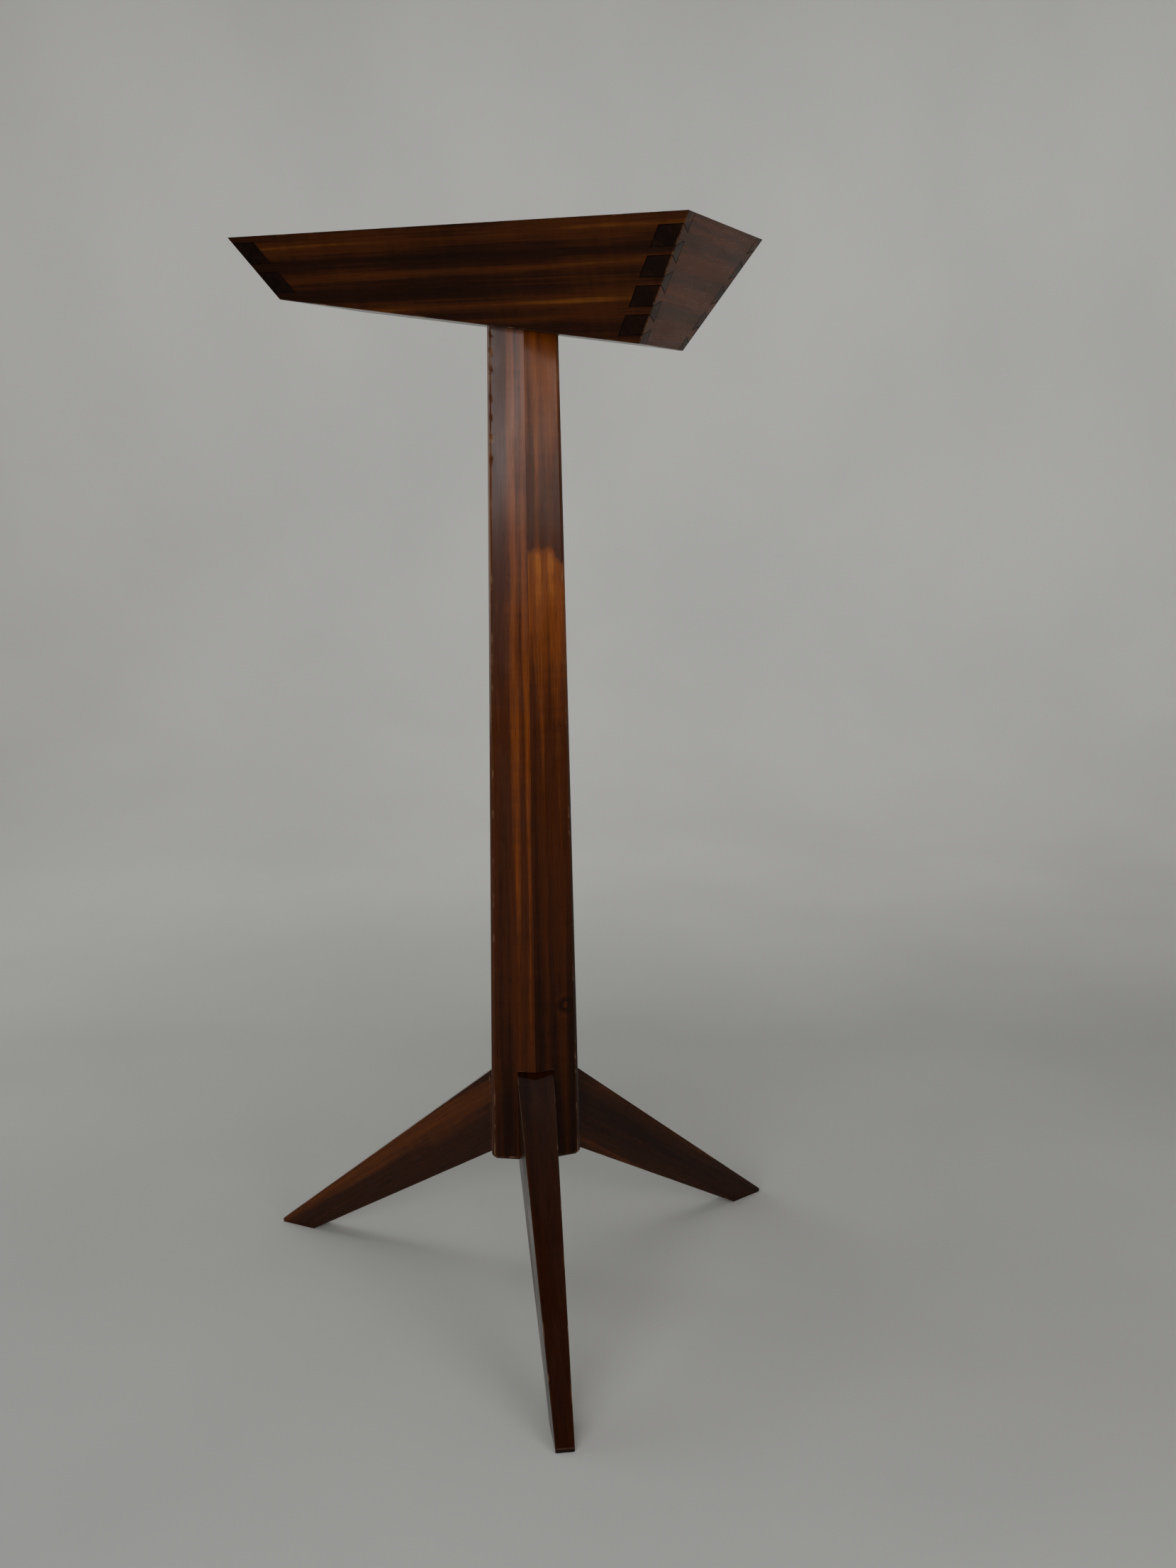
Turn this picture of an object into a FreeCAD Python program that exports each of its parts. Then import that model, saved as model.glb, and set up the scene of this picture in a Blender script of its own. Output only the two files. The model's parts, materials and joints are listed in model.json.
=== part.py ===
"""Floor stand: an open dovetailed tray with sloping sides, on a three-stave column with three splayed legs.

Frame: +Z up, floor at Z = 0, +X towards the deep end of the tray, origin at the centre of the footprint box.
The column stands at X = column_x. Azimuths are counted from +X, anticlockwise seen from above.
"""

import FreeCAD
import Part
import math
import os
import Sketcher

SIZES = {
    # tray, outside, measured from the column's centre line
    "rim_height": 1000.0,
    "shallow_reach": 237.0,
    "deep_reach": 191.0,
    "half_width": 95.0,
    "side_splay": 24.3,
    "shallow_splay": 35.0,
    "deep_splay": 31.7,
    "under_level": 923.0,
    "under_slope": 7.5,
    "side_board": 13.0,
    "end_board": 18.0,
    "floor_board": 9.0,
    # dovetails: heights are vertical, drops are from the rim
    "tail_flare": 4.6,
    "deep_tail_drop": 9.2,
    "deep_tail_height": 15.0,
    "deep_tail_pitch": 21.2,
    "shallow_tail_drop": 5.3,
    "shallow_tail_height": 16.4,
    "shallow_tail_pitch": 23.4,
    # column
    "column_x": 56.5,
    "column_foot": 142.0,
    "blank_top": 935.0,
    "foot_radius": 52.0,
    "top_radius": 37.0,
    "corner_flat": 5.2,
    "foot_bevel": 3.0,
    # legs, as distances from the column's centre line
    "leg_reach": 304.0,
    "heel_reach": 264.0,
    "toe_height": 4.0,
    "top_angle": 39.65,
    "under_angle": 31.25,
    "seat_radius": 25.7,
    "root_reach": 40.0,
    "root_width": 35.4,
    "toe_width": 16.7,
    "housing_top": 235.5,
    "tenon_width": 10.0,
    "tenon_depth": 12.0,
    "tenon_low": 160.0,
    "tenon_high": 218.0,
    # screws that hold the tray down
    "screw_circle": 17.0,
    "screw_shank": 4.0,
    "screw_head": 8.0,
    "screw_head_depth": 2.6,
    "screw_length": 45.0,
}

DEEP_TAILS = 4
SHALLOW_TAILS = 2
STAVES = {"column_stave_front": -120, "column_stave_deep": 0, "column_stave_back": 120}
LEGS = {"leg_front": -60, "leg_back": 60, "leg_shallow": 180}
SEAM_OFFSETS = (-60, 60)
# a square corner with its two faces meeting the seams: seam radius over corner radius
RIDGE_RATIO = "sin(45deg) / sin(75deg)"
CLEAR = 30.0  # how far a cutting outline runs past the wood
LAP = 1.0  # how far a tongue or its slot starts inside the wood it belongs to
FINE = 1e-6  # lengths below this count as nothing

doc = FreeCAD.newDocument("Stand")
sheet = doc.addObject("Spreadsheet::Sheet", "Sizes")
for row, (alias, value) in enumerate(SIZES.items(), start=1):
    sheet.set(f"A{row}", alias)
    sheet.set(f"B{row}", str(value))
    sheet.setAlias(f"B{row}", alias)
doc.recompute()


def size(alias):
    """Value of one sheet cell."""
    return float(sheet.get(alias))


def origin_plane(body, role):
    """One of the body's own origin planes, by its role."""
    return next(item for item in body.Origin.OriginFeatures if item.Role == role)


def new_body(label):
    """Empty body standing at the column's centre line."""
    body = doc.addObject("PartDesign::Body", label)
    body.Label = label
    body.setExpression("Placement.Base.x", "Sizes.column_x")
    return body


def outline(body, name, role, corners, level=None, tilt=None):
    """Closed sketch through corners, each a pair of expressions, on an origin plane raised to level."""
    sketch = body.newObject("Sketcher::SketchObject", name)
    sketch.AttachmentSupport = [(origin_plane(body, role), "")]
    sketch.MapMode = "FlatFace"
    raise_sketch(sketch, level, tilt)
    points = [tuple(float(sketch.evalExpression(text)) for text in corner) for corner in corners]
    vectors = [FreeCAD.Vector(px, py, 0) for px, py in points]
    count = len(points)
    for index in range(count):
        sketch.addGeometry(Part.LineSegment(vectors[index], vectors[(index + 1) % count]), False)
    for index in range(count):
        sketch.addConstraint(Sketcher.Constraint("Coincident", index, 2, (index + 1) % count, 1))
    for index, (corner, point) in enumerate(zip(corners, points)):
        hold_point(sketch, index, 1, corner, point)
    return sketch


def raise_sketch(sketch, level, tilt):
    """Bind the sketch's height above its plane, and its turn about Y, to expressions."""
    if tilt is not None:
        turn = FreeCAD.Rotation(FreeCAD.Vector(0, 1, 0), float(sketch.evalExpression(tilt)))
        sketch.AttachmentOffset = FreeCAD.Placement(FreeCAD.Vector(), turn)
        sketch.setExpression("AttachmentOffset.Rotation.Angle", tilt)
    if level is not None:
        sketch.setExpression("AttachmentOffset.Base.z", level)


def hold_point(sketch, index, spot, texts, values):
    """Hold one point of a line or circle (start 1, centre 3) at two expressions."""
    kinds = (("DistanceX", -2), ("DistanceY", -1))
    for (kind, axis), text, value in zip(kinds, texts, values):
        if abs(value) < FINE:
            sketch.addConstraint(Sketcher.Constraint("PointOnObject", index, spot, axis))
        elif value > 0:
            number = sketch.addConstraint(Sketcher.Constraint(kind, -1, 1, index, spot, value))
            sketch.setExpression(f"Constraints[{number}]", text)
        else:
            number = sketch.addConstraint(Sketcher.Constraint(kind, index, spot, -1, 1, -value))
            sketch.setExpression(f"Constraints[{number}]", f"-({text})")


def polar(radius, side, azimuth):
    """Expressions for the point at radius along an azimuth, then side to its left."""
    across = f"({radius}) * cos({azimuth}deg) - ({side}) * sin({azimuth}deg)"
    along = f"({radius}) * sin({azimuth}deg) + ({side}) * cos({azimuth}deg)"
    return across, along


def pocket(body, sketch, depth=None):
    """Cut a sketch into the body: to a depth against its normal, or both ways through all."""
    before = body.Shape.Volume
    cut = body.newObject("PartDesign::Pocket", f"{sketch.Name}Cut")
    cut.Profile = sketch
    if depth is None:
        cut.Type = "ThroughAll"
        cut.Midplane = True
    else:
        cut.setExpression("Length", depth)
    doc.recompute()
    if body.Shape.Volume > before - FINE:
        raise RuntimeError(f"{cut.Name} removes nothing")
    return cut


def stave_section(radius, azimuth):
    """Section of one stave: the centre line, two seam ridges and the flattened outer corner."""
    half_flat = "Sizes.corner_flat / 2"
    face = f"({radius}) - {half_flat}"
    ridge = f"({radius}) * {RIDGE_RATIO}"
    return [
        ("0", "0"),
        polar(ridge, "0", azimuth + SEAM_OFFSETS[0]),
        polar(face, f"-{half_flat}", azimuth),
        polar(face, half_flat, azimuth),
        polar(ridge, "0", azimuth + SEAM_OFFSETS[1]),
    ]


def rectangle(inner, outer, half_width, azimuth):
    """Corners of a radial rectangle between two radii."""
    return [
        polar(inner, f"-({half_width})", azimuth),
        polar(outer, f"-({half_width})", azimuth),
        polar(outer, half_width, azimuth),
        polar(inner, half_width, azimuth),
    ]


def make_stave(label, azimuth):
    """Tapered stave with its top cut to the tray's slope, half of two leg housings and a pilot hole."""
    body = new_body(label)
    levels = (
        ("foot", "Sizes.foot_radius - Sizes.foot_bevel", "Sizes.column_foot"),
        ("body", "Sizes.foot_radius", "Sizes.column_foot + Sizes.foot_bevel"),
        ("head", "Sizes.top_radius", "Sizes.blank_top"),
    )
    sections = [
        outline(body, f"{label}_{name}", "XY_Plane", stave_section(radius, azimuth), level)
        for name, radius, level in levels
    ]
    loft = body.newObject("PartDesign::AdditiveLoft", f"{label}_blank")
    loft.Profile = sections[0]
    loft.Sections = sections[1:]
    loft.Ruled = True
    doc.recompute()
    reach = f"Sizes.top_radius + {CLEAR}"
    top = [
        (f"-({reach})", f"Sizes.under_level + ({reach}) * tan(Sizes.under_slope * 1deg)"),
        (reach, f"Sizes.under_level - ({reach}) * tan(Sizes.under_slope * 1deg)"),
        (reach, f"Sizes.blank_top + {CLEAR}"),
        (f"-({reach})", f"Sizes.blank_top + {CLEAR}"),
    ]
    pocket(body, outline(body, f"{label}_slope", "XZ_Plane", top))
    for number, offset in enumerate(SEAM_OFFSETS, start=1):
        seam = azimuth + offset
        housing = rectangle(
            "Sizes.seat_radius", f"Sizes.foot_radius + {CLEAR}", "Sizes.root_width / 2", seam
        )
        sketch = outline(body, f"{label}_housing{number}", "XY_Plane", housing, "Sizes.housing_top")
        pocket(body, sketch, f"Sizes.housing_top - Sizes.column_foot + {CLEAR}")
        mortise = rectangle(
            "Sizes.seat_radius - Sizes.tenon_depth",
            f"Sizes.seat_radius + {LAP}",
            "Sizes.tenon_width / 2",
            seam,
        )
        sketch = outline(body, f"{label}_mortise{number}", "XY_Plane", mortise, "Sizes.tenon_high")
        pocket(body, sketch, "Sizes.tenon_high - Sizes.tenon_low")
    pilot = body.newObject("Sketcher::SketchObject", f"{label}_pilot")
    pilot.AttachmentSupport = [(origin_plane(body, "XY_Plane"), "")]
    pilot.MapMode = "FlatFace"
    raise_sketch(pilot, "Sizes.under_level", "Sizes.under_slope")
    centre = polar("Sizes.screw_circle", "0", azimuth)
    point = tuple(float(pilot.evalExpression(text)) for text in centre)
    circle = Part.Circle(FreeCAD.Vector(*point, 0), FreeCAD.Vector(0, 0, 1), size("screw_shank") / 2)
    pilot.addGeometry(circle, False)
    number = pilot.addConstraint(Sketcher.Constraint("Diameter", 0, size("screw_shank")))
    pilot.setExpression(f"Constraints[{number}]", "Sizes.screw_shank")
    hold_point(pilot, 0, 3, centre, point)
    pocket(body, pilot, "Sizes.screw_length - Sizes.floor_board")
    return body


def make_leg(label, azimuth):
    """Leg in the plane of one azimuth: a straight tapered board with a stub tenon into the seam."""
    body = new_body(label)
    turn = FreeCAD.Rotation(FreeCAD.Vector(0, 0, 1), azimuth)
    body.Placement = FreeCAD.Placement(body.Placement.Base, turn)
    rise = "tan(Sizes.top_angle * 1deg)"
    fall = "tan(Sizes.under_angle * 1deg)"
    profile = [
        ("Sizes.leg_reach", "0"),
        ("Sizes.leg_reach", "Sizes.toe_height"),
        ("Sizes.seat_radius", f"Sizes.toe_height + (Sizes.leg_reach - Sizes.seat_radius) * {rise}"),
        ("Sizes.seat_radius", f"(Sizes.heel_reach - Sizes.seat_radius) * {fall}"),
        ("Sizes.heel_reach", "0"),
    ]
    blank = body.newObject("PartDesign::Pad", f"{label}_blank")
    blank.Profile = outline(body, f"{label}_profile", "XZ_Plane", profile)
    blank.Midplane = True
    blank.setExpression("Length", "Sizes.root_width")
    doc.recompute()
    for number, side in enumerate(("", "-"), start=1):
        waste = [
            ("Sizes.root_reach", f"{side}Sizes.root_width / 2"),
            ("Sizes.leg_reach", f"{side}Sizes.toe_width / 2"),
            (f"Sizes.leg_reach + {CLEAR}", f"{side}Sizes.toe_width / 2"),
            (f"Sizes.leg_reach + {CLEAR}", f"{side}(Sizes.root_width / 2 + {CLEAR})"),
            ("Sizes.root_reach", f"{side}(Sizes.root_width / 2 + {CLEAR})"),
        ]
        pocket(body, outline(body, f"{label}_taper{number}", "XY_Plane", waste))
    tongue = [
        ("Sizes.seat_radius - Sizes.tenon_depth", "Sizes.tenon_low"),
        (f"Sizes.seat_radius + {LAP}", "Sizes.tenon_low"),
        (f"Sizes.seat_radius + {LAP}", "Sizes.tenon_high"),
        ("Sizes.seat_radius - Sizes.tenon_depth", "Sizes.tenon_high"),
    ]
    tenon = body.newObject("PartDesign::Pad", f"{label}_tenon")
    tenon.Profile = outline(body, f"{label}_tongue", "XZ_Plane", tongue)
    tenon.Midplane = True
    tenon.setExpression("Length", "Sizes.tenon_width")
    doc.recompute()
    return body


def tangent(alias):
    """Tangent of an angle in the sheet."""
    return math.tan(math.radians(size(alias)))


def across(board, splay):
    """Level width of a board of one thickness, leaning at an angle in the sheet."""
    return size(board) / math.cos(math.radians(size(splay)))


def side_y(height, layer):
    """Half width of the tray at a height: layer 0 is the outer face, 1 the inner face."""
    drop = size("rim_height") - height
    inset = layer * across("side_board", "side_splay")
    return size("half_width") - tangent("side_splay") * drop - inset


def end_x(height, layer, end):
    """Position of an end board's face at a height: end is "deep" or "shallow"."""
    drop = size("rim_height") - height
    inset = layer * across("end_board", f"{end}_splay")
    reach = size(f"{end}_reach") - tangent(f"{end}_splay") * drop - inset
    return reach if end == "deep" else -reach


def under_z(layer, end, lift=0.0):
    """Height where an end board's face meets the sloping underside, raised by lift."""
    slope = tangent("under_slope")
    splay = tangent(f"{end}_splay")
    sign = 1.0 if end == "deep" else -1.0
    level = size("under_level") + lift
    at_rim = abs(end_x(size("rim_height"), layer, end))
    return (level - sign * slope * (at_rim - splay * size("rim_height"))) / (1.0 + sign * slope * splay)


def block(corners):
    """Solid with six flat faces from two four-point rings, each in the same turning order."""
    near, far = corners
    rings = [near, far]
    rings += [(near[i], near[(i + 1) % 4], far[(i + 1) % 4], far[i]) for i in range(4)]
    faces = []
    for ring in rings:
        points = [FreeCAD.Vector(*corner) for corner in ring]
        faces.append(Part.Face(Part.makePolygon(points + points[:1])))
    solid = Part.Solid(Part.Shell(faces))
    solid.fix(FINE, FINE, FINE)
    if solid.Volume < 0:
        solid.reverse()
    return solid


def tail(end, number, side):
    """One tail: full height on the side board's outer face, narrower where it leaves the end board."""
    top = size("rim_height") - size(f"{end}_tail_drop") - number * size(f"{end}_tail_pitch")
    bottom = top - size(f"{end}_tail_height")
    flare = size("tail_flare")
    rings = []
    for layer in (0, 1):
        high = top - layer * flare
        low = bottom + layer * flare
        rings.append([
            (end_x(high, 0, end), side * side_y(high, layer), high),
            (end_x(high, 1, end), side * side_y(high, layer), high),
            (end_x(low, 1, end), side * side_y(low, layer), low),
            (end_x(low, 0, end), side * side_y(low, layer), low),
        ])
    return block(rings)


def tails(side):
    """All tails that pass through one side board."""
    deep = [tail("deep", number, side) for number in range(DEEP_TAILS)]
    shallow = [tail("shallow", number, side) for number in range(SHALLOW_TAILS)]
    return deep + shallow


def side_panel(side):
    """Long board of the tray, with the sockets between its pins cut out at both ends."""
    rim = size("rim_height")
    rings = []
    for layer in (0, 1):
        ring = []
        for end, level in (("shallow", rim), ("deep", rim), ("deep", None), ("shallow", None)):
            height = under_z(0, end) if level is None else level
            ring.append((end_x(height, 0, end), side * side_y(height, layer), height))
        rings.append(ring)
    return block(rings).cut(tails(side))


def end_panel(end, count):
    """End board of the tray, between the side boards, with its tails on both edges."""
    rim = size("rim_height")
    rings = []
    for layer in (0, 1):
        low = under_z(layer, end)
        rings.append([
            (end_x(rim, layer, end), -side_y(rim, 1), rim),
            (end_x(rim, layer, end), side_y(rim, 1), rim),
            (end_x(low, layer, end), side_y(low, 1), low),
            (end_x(low, layer, end), -side_y(low, 1), low),
        ])
    joints = [tail(end, number, side) for side in (-1, 1) for number in range(count)]
    return block(rings).fuse(joints).removeSplitter()


def floor_panel(screws):
    """Floor board let in between the four boards, countersunk for the screws."""
    rings = []
    for lift in (0.0, size("floor_board") / math.cos(math.radians(size("under_slope")))):
        ring = []
        for end, side in (("shallow", -1), ("deep", -1), ("deep", 1), ("shallow", 1)):
            height = under_z(1, end, lift)
            ring.append((end_x(height, 1, end), side * side_y(height, 1), height))
        rings.append(ring)
    return block(rings).cut(screws)


def column_place():
    """Vector from the row's origin to the foot of the column's centre line."""
    return FreeCAD.Vector(size("column_x"), 0, 0)


def add_feature(label, shape):
    """Set a finished shape as a feature standing at the column's centre line."""
    feature = doc.addObject("Part::Feature", label)
    feature.Shape = shape
    feature.Label = label
    feature.Placement = FreeCAD.Placement(column_place(), FreeCAD.Rotation())
    return feature


def make_screws(label):
    """Three countersunk screws in one node, square to the tray's floor."""
    screws = []
    for name, azimuth in STAVES.items():
        head = doc.addObject("Part::Cone", f"{name}_head")
        head.setExpression("Radius1", "Sizes.screw_shank / 2")
        head.setExpression("Radius2", "Sizes.screw_head / 2")
        head.setExpression("Height", "Sizes.screw_head_depth")
        head.setExpression("Placement.Base.z", "Sizes.screw_length - Sizes.screw_head_depth")
        shank = doc.addObject("Part::Cylinder", f"{name}_shank")
        shank.setExpression("Radius", "Sizes.screw_shank / 2")
        shank.setExpression("Height", "Sizes.screw_length - Sizes.screw_head_depth")
        screw = doc.addObject("Part::Fuse", f"{name}_screw")
        screw.Base = head
        screw.Tool = shank
        screw.setExpression("Placement.Base.x", f"Sizes.screw_circle * cos({azimuth}deg)")
        screw.setExpression("Placement.Base.y", f"Sizes.screw_circle * sin({azimuth}deg)")
        screw.setExpression("Placement.Base.z", "Sizes.floor_board - Sizes.screw_length")
        screws.append(screw)
    group = doc.addObject("Part::Compound", label)
    group.Label = label
    group.Links = screws
    turn = FreeCAD.Rotation(FreeCAD.Vector(0, 1, 0), size("under_slope"))
    underside = column_place() + FreeCAD.Vector(0, 0, size("under_level"))
    group.Placement = FreeCAD.Placement(underside, turn)
    doc.recompute()
    return group


def main():
    """Build every piece, check it and write it out."""
    nodes = [make_stave(label, azimuth) for label, azimuth in STAVES.items()]
    nodes += [make_leg(label, azimuth) for label, azimuth in LEGS.items()]
    screws = make_screws("tray_floor_screws")
    nodes.append(screws)
    cutters = screws.Shape.copy()
    cutters.translate(-column_place())
    nodes.append(add_feature("tray_front_panel", side_panel(-1)))
    nodes.append(add_feature("tray_back_panel", side_panel(1)))
    nodes.append(add_feature("tray_deep_end", end_panel("deep", DEEP_TAILS)))
    nodes.append(add_feature("tray_shallow_end", end_panel("shallow", SHALLOW_TAILS)))
    nodes.append(add_feature("tray_floor", floor_panel(cutters.Solids)))
    doc.recompute()
    for item in doc.Objects:
        if "Invalid" in item.State or "Error" in item.State:
            raise RuntimeError(f"{item.Name} failed: {item.State}")
    os.makedirs("parts", exist_ok=True)
    for node in nodes:
        if node.Shape.isNull() or not node.Shape.isValid():
            raise RuntimeError(f"{node.Label} has no valid shape")
        node.Shape.exportStep(f"parts/{node.Label}.step")
        print(node.Label, len(node.Shape.Solids), "solids", round(node.Shape.Volume / 1000, 1), "cm3")


main()
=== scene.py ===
"""Looks of the dovetailed album stand: ribbon-striped mahogany in a plain pale studio."""

import json
import logging
import math
from dataclasses import dataclass
from enum import Enum

import bmesh
import bpy
from mathutils import Matrix, Vector, noise
from mathutils.bvhtree import BVHTree


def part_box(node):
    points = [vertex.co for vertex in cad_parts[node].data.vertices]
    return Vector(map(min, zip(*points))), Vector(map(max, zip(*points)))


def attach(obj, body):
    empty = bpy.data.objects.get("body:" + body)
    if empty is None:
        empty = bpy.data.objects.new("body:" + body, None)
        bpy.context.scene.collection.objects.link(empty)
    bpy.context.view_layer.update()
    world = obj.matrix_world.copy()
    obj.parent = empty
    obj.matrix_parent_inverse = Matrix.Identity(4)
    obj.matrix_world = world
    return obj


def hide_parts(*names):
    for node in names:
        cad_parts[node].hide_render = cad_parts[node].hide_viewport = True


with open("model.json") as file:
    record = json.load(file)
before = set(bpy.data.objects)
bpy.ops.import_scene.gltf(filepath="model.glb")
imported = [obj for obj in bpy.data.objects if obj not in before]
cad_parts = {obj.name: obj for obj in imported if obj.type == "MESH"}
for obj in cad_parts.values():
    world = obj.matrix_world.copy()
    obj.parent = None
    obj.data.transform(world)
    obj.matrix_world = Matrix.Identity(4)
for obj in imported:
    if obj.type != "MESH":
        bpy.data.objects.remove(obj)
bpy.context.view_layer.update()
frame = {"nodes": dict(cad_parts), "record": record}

ROOT_BODY = "root"
WOOD_SLOT = "mahogany"
BRASS_SLOT = "brass"
NOTHING = 1e-6
ORIGIN = Vector((0.0, 0.0, 0.0))
ALONG_X = Vector((1.0, 0.0, 0.0))
ALONG_Y = Vector((0.0, 1.0, 0.0))
UP = Vector((0.0, 0.0, 1.0))

log = logging.getLogger("album_stand")

Triple = tuple[float, float, float]
Stops = tuple[tuple[float, float], ...]
ColourStops = tuple[tuple[float, Triple], ...]
Socket = bpy.types.NodeSocket


class EdgeKind(Enum):
    """What an edge of a board does once the stand is glued up."""

    ARRIS = "open corner, eased by hand"
    SEAM = "meets a neighbouring board flush"
    HIDDEN = "inside a joint"


EdgeLine = tuple[EdgeKind, Vector, Vector]


@dataclass(frozen=True)
class Cells:
    """One layer of smooth random values.

    Attributes:
        scale: cells per metre along each axis.
        detail: number of finer layers.
        rough: weight of the finer layers.
    """

    scale: Triple
    detail: float
    rough: float


@dataclass(frozen=True)
class Ease:
    """A smooth change from one value to another.

    Attributes:
        low: driving number where the change starts.
        high: driving number where it ends.
        start: result at low.
        end: result at high.
    """

    low: float
    high: float
    start: float = 0.0
    end: float = 1.0


@dataclass(frozen=True)
class Grain:
    """How the grain lies in one board.

    Attributes:
        origin: point that distances in the figure are measured from, in metres.
        along: direction of the grain.
        across: direction in which the ribbons follow one another.
    """

    origin: Vector
    along: Vector
    across: Vector


@dataclass(frozen=True)
class Figure:
    """The ribbon figure of one board.

    Attributes:
        bands: pairs of distance across the board and tone, from 0 dark to 1 golden.
        clouds: pairs of distance along the grain and tone added there, with 0.5 adding nothing; on the
            column's staves they also paint shade, darker towards the foot.
        waver: how far a ribbon wanders sideways, in metres.
        streak: strength of the fine streaks between the ribbons.
        seed: shifts the random parts, so that no two boards are alike.
        taper: share of its width that the figure loses per metre of grain.
        slant: how much the clouds lean, in metres along per metre across.
        knot: distance across, distance along and radius of a small knot, if there is one.
    """

    bands: Stops
    clouds: Stops
    waver: float
    streak: float
    seed: float
    taper: float = 0.0
    slant: float = 0.0
    knot: Triple | None = None


class Graph:
    """Makes one material and joins its nodes."""

    def __init__(self, name: str) -> None:
        """Start from an empty node tree.

        Args:
            name: name of the material.
        """
        self.material = bpy.data.materials.new(name)
        self.material.use_nodes = True
        self.tree = self.material.node_tree
        self.tree.nodes.clear()

    def node(self, kind: str, **settings: object) -> bpy.types.Node:
        """Add one node.

        Args:
            kind: short type name, without the ShaderNode prefix.
            settings: properties of the node to set.

        Returns:
            The new node.
        """
        made = self.tree.nodes.new("ShaderNode" + kind)
        for name, value in settings.items():
            setattr(made, name, value)
        return made

    def feed(self, node: bpy.types.Node, values: dict[int | str, object]) -> bpy.types.Node:
        """Give inputs of a node a link or a fixed value.

        Args:
            node: the node.
            values: socket or value for each input, by its number or name.

        Returns:
            The same node.
        """
        for key, value in values.items():
            if isinstance(value, Socket):
                self.tree.links.new(value, node.inputs[key])
            else:
                node.inputs[key].default_value = value
        return node

    def position(self) -> Socket:
        """Position in the piece, in metres."""
        return self.node("TexCoord").outputs["Object"]

    def math(self, operation: str, first: object, second: object = 0.0, clamp: bool = False) -> Socket:
        """Join two numbers by one operation.

        Args:
            operation: name of the operation.
            first: socket or number.
            second: socket or number.
            clamp: keep the result between 0 and 1.

        Returns:
            The result's socket.
        """
        made = self.node("Math", operation=operation, use_clamp=clamp)
        return self.feed(made, {0: first, 1: second}).outputs[0]

    def swing(self, value: Socket, weight: float) -> Socket:
        """How far a value lies above one half, times a weight."""
        return self.math("MULTIPLY", self.math("SUBTRACT", value, 0.5), weight)

    def vector_math(self, operation: str, first: Socket, second: object) -> bpy.types.Node:
        """Join two vectors by one operation.

        Args:
            operation: name of the operation.
            first: socket of the first vector.
            second: socket or vector.

        Returns:
            The node, whose outputs are Vector and Value.
        """
        return self.feed(self.node("VectorMath", operation=operation), {0: first, 1: second})

    def noise(self, place: Socket, cells: Cells) -> Socket:
        """Smooth random values, stretched differently along each axis.

        Args:
            place: position in metres.
            cells: size and roughness of the layer.

        Returns:
            Values about 0.5.
        """
        stretched = self.vector_math("MULTIPLY", place, cells.scale).outputs["Vector"]
        made = self.node("TexNoise", noise_dimensions="3D")
        values = {"Vector": stretched, "Scale": 1.0, "Detail": cells.detail, "Roughness": cells.rough}
        return self.feed(made, values).outputs["Fac"]

    def ease(self, value: Socket, change: Ease) -> Socket:
        """Change smoothly as a value goes from low to high.

        Args:
            value: the driving number.
            change: the two ends of the change.

        Returns:
            The eased result.
        """
        made = self.node("MapRange", interpolation_type="SMOOTHSTEP")
        ends = {"From Min": change.low, "From Max": change.high}
        results = {"To Min": change.start, "To Max": change.end}
        return self.feed(made, {"Value": value, **ends, **results}).outputs["Result"]

    def ramp(self, value: Socket, stops: ColourStops) -> Socket:
        """Colours along a line.

        Args:
            value: position on the line, from 0 to 1.
            stops: pairs of position and colour.

        Returns:
            The colour at that position.
        """
        made = self.node("ValToRGB")
        made.color_ramp.interpolation = "EASE"
        elements = made.color_ramp.elements
        while len(elements) < len(stops):
            elements.new(1.0)
        for element, (position, colour) in zip(elements, stops):
            element.position = position
            element.color = (*colour, 1.0)
        return self.feed(made, {"Fac": value}).outputs["Color"]

    def profile(self, value: Socket, stops: Stops) -> Socket:
        """Tones along a distance in metres.

        Args:
            value: the distance.
            stops: pairs of distance and tone.

        Returns:
            The tone at that distance.
        """
        start, end = stops[0][0], stops[-1][0]
        share = self.feed(self.node("MapRange"), {"Value": value, "From Min": start, "From Max": end})
        grey = tuple(((place - start) / (end - start), (tone, tone, tone)) for place, tone in stops)
        return self.ramp(share.outputs["Result"], grey)

    def blend(self, factor: object, first: Socket, second: object, mode: str = "MIX") -> Socket:
        """Mix two colours.

        Args:
            factor: share of the second colour.
            first: socket of the first colour.
            second: socket or colour.
            mode: how they mix.

        Returns:
            The mixed colour.
        """
        made = self.node("Mix", data_type="RGBA", blend_type=mode)
        other = second if isinstance(second, Socket) else (*second, 1.0)
        return self.feed(made, {0: factor, 6: first, 7: other}).outputs[2]

    def dim(self, colour: Socket, share: Socket) -> Socket:
        """The colour times the same share in all three channels."""
        grey = self.feed(self.node("CombineColor"), {0: share, 1: share, 2: share})
        return self.blend(1.0, colour, grey.outputs["Color"], "MULTIPLY")

    def bump(self, height: Socket, strength: float, distance: float, under: Socket | None = None) -> Socket:
        """Raise the surface.

        Args:
            height: how high each point stands.
            strength: strength of the relief.
            distance: height of the relief, in metres.
            under: surface normal of the relief below, if there is one.

        Returns:
            The surface normal.
        """
        made = self.feed(self.node("Bump"), {"Strength": strength, "Distance": distance, "Height": height})
        if under is not None:
            self.feed(made, {"Normal": under})
        return made.outputs["Normal"]

    def surface(self, values: dict[str, object]) -> bpy.types.Material:
        """Finish the material with one shader.

        Args:
            values: socket or value for each input of the shader.

        Returns:
            The finished material.
        """
        shader = self.feed(self.node("BsdfPrincipled"), values)
        self.feed(self.node("OutputMaterial"), {"Surface": shader.outputs["BSDF"]})
        return self.material


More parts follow.
